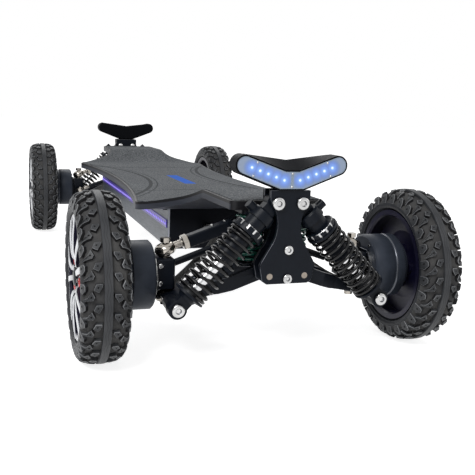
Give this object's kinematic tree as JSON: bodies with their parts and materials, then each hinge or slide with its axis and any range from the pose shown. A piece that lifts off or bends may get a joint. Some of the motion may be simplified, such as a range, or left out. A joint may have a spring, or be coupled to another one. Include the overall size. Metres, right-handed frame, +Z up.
{
  "type": "electric mountainboard",
  "caption": "Electric mountainboard with knobbly tyres, double-wishbone suspension with coil shocks, drop-centre deck and V-shaped lamps at both ends.",
  "frame": {"origin": "on the ground under the middle of the board", "axes": "+X to the rider's left, -Y forward along the board, +Z up"},
  "size_m": [0.52, 1.235, 0.279],
  "materials": {
    "black_metal": "satin",
    "bright_steel": "polished",
    "silver_alloy": "satin",
    "tyre": "matte",
    "chrome": "polished",
    "spring_black": "gloss",
    "black_plastic": "fine grain",
    "lens": "frosted",
    "dark_steel": "satin",
    "deck_laminate": "satin",
    "grip": "gritty",
    "case_metal": "anodised",
    "inner_plastic": "plain",
    "violet_light": "diffuse",
    "spring_green": "gloss",
    "braid": "braided"
  },
  "bodies": {
    "deck": {"deck": "deck_laminate", "grip_tape": "grip", "battery_case": "case_metal", "battery_and_controller": "inner_plastic", "side_light_strips": "violet_light", "deck_brackets": "black_metal", "lean_springs": "spring_green", "motor_cables": "braid"},
    "front_truck": {"front_truck_frame": "black_metal", "front_lamp_housing": "black_plastic", "front_lamp_lens": "lens"},
    "front_centre_link": {"front_centre_link": "dark_steel"},
    "rear_truck": {"rear_truck_frame": "black_metal", "rear_lamp_housing": "black_plastic", "rear_lamp_lens": "lens"},
    "rear_centre_link": {"rear_centre_link": "dark_steel"},
    "front_left_lower_arm": {"front_left_lower_arm": "black_metal"},
    "front_left_kingpin": {"front_left_kingpin": "bright_steel"},
    "front_left_knuckle": {"front_left_knuckle": "black_metal", "front_left_hub_motor": "black_metal"},
    "front_left_wheel": {"front_left_rim": "silver_alloy", "front_left_tyre": "tyre"},
    "front_left_upper_link": {"front_left_upper_link": "black_metal"},
    "front_left_shock_body": {"front_left_shock_body": "black_metal", "front_left_shock_spring": "spring_black"},
    "front_left_shock_rod": {"front_left_shock_rod": "chrome"},
    "front_left_tie_rod": {"front_left_tie_rod": "black_metal"},
    "front_right_lower_arm": {"front_right_lower_arm": "black_metal"},
    "front_right_kingpin": {"front_right_kingpin": "bright_steel"},
    "front_right_knuckle": {"front_right_knuckle": "black_metal", "front_right_hub_motor": "black_metal"},
    "front_right_wheel": {"front_right_rim": "silver_alloy", "front_right_tyre": "tyre"},
    "front_right_upper_link": {"front_right_upper_link": "black_metal"},
    "front_right_shock_body": {"front_right_shock_body": "black_metal", "front_right_shock_spring": "spring_black"},
    "front_right_shock_rod": {"front_right_shock_rod": "chrome"},
    "front_right_tie_rod": {"front_right_tie_rod": "black_metal"},
    "rear_left_lower_arm": {"rear_left_lower_arm": "black_metal"},
    "rear_left_kingpin": {"rear_left_kingpin": "bright_steel"},
    "rear_left_knuckle": {"rear_left_knuckle": "black_metal", "rear_left_hub_motor": "black_metal"},
    "rear_left_wheel": {"rear_left_rim": "silver_alloy", "rear_left_tyre": "tyre"},
    "rear_left_upper_link": {"rear_left_upper_link": "black_metal"},
    "rear_left_shock_body": {"rear_left_shock_body": "black_metal", "rear_left_shock_spring": "spring_black"},
    "rear_left_shock_rod": {"rear_left_shock_rod": "chrome"},
    "rear_left_tie_rod": {"rear_left_tie_rod": "black_metal"},
    "rear_right_lower_arm": {"rear_right_lower_arm": "black_metal"},
    "rear_right_kingpin": {"rear_right_kingpin": "bright_steel"},
    "rear_right_knuckle": {"rear_right_knuckle": "black_metal", "rear_right_hub_motor": "black_metal"},
    "rear_right_wheel": {"rear_right_rim": "silver_alloy", "rear_right_tyre": "tyre"},
    "rear_right_upper_link": {"rear_right_upper_link": "black_metal"},
    "rear_right_shock_body": {"rear_right_shock_body": "black_metal", "rear_right_shock_spring": "spring_black"},
    "rear_right_shock_rod": {"rear_right_shock_rod": "chrome"},
    "rear_right_tie_rod": {"rear_right_tie_rod": "black_metal"}
  },
  "joints": [
    {"name": "front_lean", "type": "hinge", "parent": "deck", "child": "front_truck", "pos_m": [0, -0.505, 0.182], "axis": [0, 1, 0], "range_deg": [-10, 10], "stiffness_Nm_per_rad": 150, "deforming": ["lean_springs", "motor_cables"]},
    {"name": "front_centre_link_slide", "type": "slide", "parent": "front_truck", "child": "front_centre_link", "axis": [1, 0, 0], "range_m": [-0.007, 0.007]},
    {"name": "rear_lean", "type": "hinge", "parent": "deck", "child": "rear_truck", "pos_m": [0, 0.505, 0.182], "axis": [0, 1, 0], "range_deg": [-10, 10], "stiffness_Nm_per_rad": 150, "deforming": ["lean_springs", "motor_cables"]},
    {"name": "rear_centre_link_slide", "type": "slide", "parent": "rear_truck", "child": "rear_centre_link", "axis": [1, 0, 0], "range_m": [-0.007, 0.007]},
    {"name": "front_left_bump", "type": "hinge", "parent": "front_truck", "child": "front_left_lower_arm", "pos_m": [0.024, -0.505, 0.125], "axis": [0, -1, 0], "range_deg": [0, 18], "stiffness_Nm_per_rad": 80, "springref_deg": -11.46, "deforming": ["front_left_shock_spring", "motor_cables"]},
    {"name": "front_left_lower_ball", "type": "hinge", "parent": "front_left_lower_arm", "child": "front_left_kingpin", "pos_m": [0.138, -0.505, 0.085], "axis": [0, -1, 0], "range_deg": [-18.5, 0.5]},
    {"name": "front_left_steer", "type": "hinge", "parent": "front_left_kingpin", "child": "front_left_knuckle", "pos_m": [0.138, -0.505, 0.1125], "axis": [0, 0, 1], "range_deg": [-8.5, 8.5]},
    {"name": "front_left_wheel_spin", "type": "hinge", "parent": "front_left_knuckle", "child": "front_left_wheel", "pos_m": [0.229, -0.505, 0.1125], "axis": [1, 0, 0], "continuous": true},
    {"name": "front_left_upper_pivot", "type": "hinge", "parent": "front_truck", "child": "front_left_upper_link", "pos_m": [0.024, -0.505, 0.186], "axis": [0, -1, 0], "range_deg": [-0.5, 18.5]},
    {"name": "front_left_shock_top", "type": "hinge", "parent": "front_truck", "child": "front_left_shock_body", "pos_m": [0.0165, -0.584, 0.2184], "axis": [0, -1, 0], "range_deg": [-0.5, 18]},
    {"name": "front_left_shock_foot", "type": "hinge", "parent": "front_left_lower_arm", "child": "front_left_shock_rod", "pos_m": [0.141, -0.584, 0.086], "axis": [0, -1, 0], "range_deg": [-18, 0.5]},
    {"name": "front_left_tie_pivot", "type": "hinge", "parent": "front_centre_link", "child": "front_left_tie_rod", "pos_m": [0.024, -0.465, 0.15], "axis": [0, -1, 0], "range_deg": [-0.5, 18.5]},
    {"name": "front_right_bump", "type": "hinge", "parent": "front_truck", "child": "front_right_lower_arm", "pos_m": [-0.024, -0.505, 0.125], "axis": [0, 1, 0], "range_deg": [0, 18], "stiffness_Nm_per_rad": 80, "springref_deg": -11.46, "deforming": ["front_right_shock_spring", "motor_cables"]},
    {"name": "front_right_lower_ball", "type": "hinge", "parent": "front_right_lower_arm", "child": "front_right_kingpin", "pos_m": [-0.138, -0.505, 0.085], "axis": [0, 1, 0], "range_deg": [-18.5, 0.5]},
    {"name": "front_right_steer", "type": "hinge", "parent": "front_right_kingpin", "child": "front_right_knuckle", "pos_m": [-0.138, -0.505, 0.1125], "axis": [0, 0, 1], "range_deg": [-8.5, 8.5]},
    {"name": "front_right_wheel_spin", "type": "hinge", "parent": "front_right_knuckle", "child": "front_right_wheel", "pos_m": [-0.229, -0.505, 0.1125], "axis": [1, 0, 0], "continuous": true},
    {"name": "front_right_upper_pivot", "type": "hinge", "parent": "front_truck", "child": "front_right_upper_link", "pos_m": [-0.024, -0.505, 0.186], "axis": [0, 1, 0], "range_deg": [-0.5, 18.5]},
    {"name": "front_right_shock_top", "type": "hinge", "parent": "front_truck", "child": "front_right_shock_body", "pos_m": [-0.0165, -0.584, 0.2184], "axis": [0, 1, 0], "range_deg": [-0.5, 18]},
    {"name": "front_right_shock_foot", "type": "hinge", "parent": "front_right_lower_arm", "child": "front_right_shock_rod", "pos_m": [-0.141, -0.584, 0.086], "axis": [0, 1, 0], "range_deg": [-18, 0.5]},
    {"name": "front_right_tie_pivot", "type": "hinge", "parent": "front_centre_link", "child": "front_right_tie_rod", "pos_m": [-0.024, -0.465, 0.15], "axis": [0, 1, 0], "range_deg": [-0.5, 18.5]},
    {"name": "rear_left_bump", "type": "hinge", "parent": "rear_truck", "child": "rear_left_lower_arm", "pos_m": [0.024, 0.505, 0.125], "axis": [0, -1, 0], "range_deg": [0, 18], "stiffness_Nm_per_rad": 80, "springref_deg": -11.46, "deforming": ["rear_left_shock_spring", "motor_cables"]},
    {"name": "rear_left_lower_ball", "type": "hinge", "parent": "rear_left_lower_arm", "child": "rear_left_kingpin", "pos_m": [0.138, 0.505, 0.085], "axis": [0, -1, 0], "range_deg": [-18.5, 0.5]},
    {"name": "rear_left_steer", "type": "hinge", "parent": "rear_left_kingpin", "child": "rear_left_knuckle", "pos_m": [0.138, 0.505, 0.1125], "axis": [0, 0, 1], "range_deg": [-8.5, 8.5]},
    {"name": "rear_left_wheel_spin", "type": "hinge", "parent": "rear_left_knuckle", "child": "rear_left_wheel", "pos_m": [0.229, 0.505, 0.1125], "axis": [1, 0, 0], "continuous": true},
    {"name": "rear_left_upper_pivot", "type": "hinge", "parent": "rear_truck", "child": "rear_left_upper_link", "pos_m": [0.024, 0.505, 0.186], "axis": [0, -1, 0], "range_deg": [-0.5, 18.5]},
    {"name": "rear_left_shock_top", "type": "hinge", "parent": "rear_truck", "child": "rear_left_shock_body", "pos_m": [0.0165, 0.584, 0.2184], "axis": [0, -1, 0], "range_deg": [-0.5, 18]},
    {"name": "rear_left_shock_foot", "type": "hinge", "parent": "rear_left_lower_arm", "child": "rear_left_shock_rod", "pos_m": [0.141, 0.584, 0.086], "axis": [0, -1, 0], "range_deg": [-18, 0.5]},
    {"name": "rear_left_tie_pivot", "type": "hinge", "parent": "rear_centre_link", "child": "rear_left_tie_rod", "pos_m": [0.024, 0.465, 0.15], "axis": [0, -1, 0], "range_deg": [-0.5, 18.5]},
    {"name": "rear_right_bump", "type": "hinge", "parent": "rear_truck", "child": "rear_right_lower_arm", "pos_m": [-0.024, 0.505, 0.125], "axis": [0, 1, 0], "range_deg": [0, 18], "stiffness_Nm_per_rad": 80, "springref_deg": -11.46, "deforming": ["rear_right_shock_spring", "motor_cables"]},
    {"name": "rear_right_lower_ball", "type": "hinge", "parent": "rear_right_lower_arm", "child": "rear_right_kingpin", "pos_m": [-0.138, 0.505, 0.085], "axis": [0, 1, 0], "range_deg": [-18.5, 0.5]},
    {"name": "rear_right_steer", "type": "hinge", "parent": "rear_right_kingpin", "child": "rear_right_knuckle", "pos_m": [-0.138, 0.505, 0.1125], "axis": [0, 0, 1], "range_deg": [-8.5, 8.5]},
    {"name": "rear_right_wheel_spin", "type": "hinge", "parent": "rear_right_knuckle", "child": "rear_right_wheel", "pos_m": [-0.229, 0.505, 0.1125], "axis": [1, 0, 0], "continuous": true},
    {"name": "rear_right_upper_pivot", "type": "hinge", "parent": "rear_truck", "child": "rear_right_upper_link", "pos_m": [-0.024, 0.505, 0.186], "axis": [0, 1, 0], "range_deg": [-0.5, 18.5]},
    {"name": "rear_right_shock_top", "type": "hinge", "parent": "rear_truck", "child": "rear_right_shock_body", "pos_m": [-0.0165, 0.584, 0.2184], "axis": [0, 1, 0], "range_deg": [-0.5, 18]},
    {"name": "rear_right_shock_foot", "type": "hinge", "parent": "rear_right_lower_arm", "child": "rear_right_shock_rod", "pos_m": [-0.141, 0.584, 0.086], "axis": [0, 1, 0], "range_deg": [-18, 0.5]},
    {"name": "rear_right_tie_pivot", "type": "hinge", "parent": "rear_centre_link", "child": "rear_right_tie_rod", "pos_m": [-0.024, 0.465, 0.15], "axis": [0, 1, 0], "range_deg": [-0.5, 18.5]}
  ],
  "couplings": [
    {"joint": "front_centre_link_slide", "follows": "front_lean", "m_per_rad": 0.032},
    {"joint": "rear_centre_link_slide", "follows": "front_lean", "m_per_rad": 0.032},
    {"joint": "rear_lean", "follows": "front_lean", "ratio": 1},
    {"joint": "front_left_lower_ball", "follows": "front_left_bump", "ratio": -1},
    {"joint": "front_left_upper_pivot", "follows": "front_left_bump", "ratio": 1},
    {"joint": "front_left_shock_top", "follows": "front_left_bump", "ratio": 0.6093},
    {"joint": "front_left_shock_foot", "follows": "front_left_bump", "ratio": -0.3907},
    {"joint": "front_left_tie_pivot", "follows": "front_left_bump", "ratio": 1},
    {"joint": "front_left_steer", "follows": "front_lean", "ratio": -0.8},
    {"joint": "front_right_lower_ball", "follows": "front_right_bump", "ratio": -1},
    {"joint": "front_right_upper_pivot", "follows": "front_right_bump", "ratio": 1},
    {"joint": "front_right_shock_top", "follows": "front_right_bump", "ratio": 0.6093},
    {"joint": "front_right_shock_foot", "follows": "front_right_bump", "ratio": -0.3907},
    {"joint": "front_right_tie_pivot", "follows": "front_right_bump", "ratio": 1},
    {"joint": "front_right_steer", "follows": "front_lean", "ratio": -0.8},
    {"joint": "rear_left_lower_ball", "follows": "rear_left_bump", "ratio": -1},
    {"joint": "rear_left_upper_pivot", "follows": "rear_left_bump", "ratio": 1},
    {"joint": "rear_left_shock_top", "follows": "rear_left_bump", "ratio": 0.6093},
    {"joint": "rear_left_shock_foot", "follows": "rear_left_bump", "ratio": -0.3907},
    {"joint": "rear_left_tie_pivot", "follows": "rear_left_bump", "ratio": 1},
    {"joint": "rear_left_steer", "follows": "front_lean", "ratio": 0.8},
    {"joint": "rear_right_lower_ball", "follows": "rear_right_bump", "ratio": -1},
    {"joint": "rear_right_upper_pivot", "follows": "rear_right_bump", "ratio": 1},
    {"joint": "rear_right_shock_top", "follows": "rear_right_bump", "ratio": 0.6093},
    {"joint": "rear_right_shock_foot", "follows": "rear_right_bump", "ratio": -0.3907},
    {"joint": "rear_right_tie_pivot", "follows": "rear_right_bump", "ratio": 1},
    {"joint": "rear_right_steer", "follows": "front_lean", "ratio": 0.8}
  ]
}
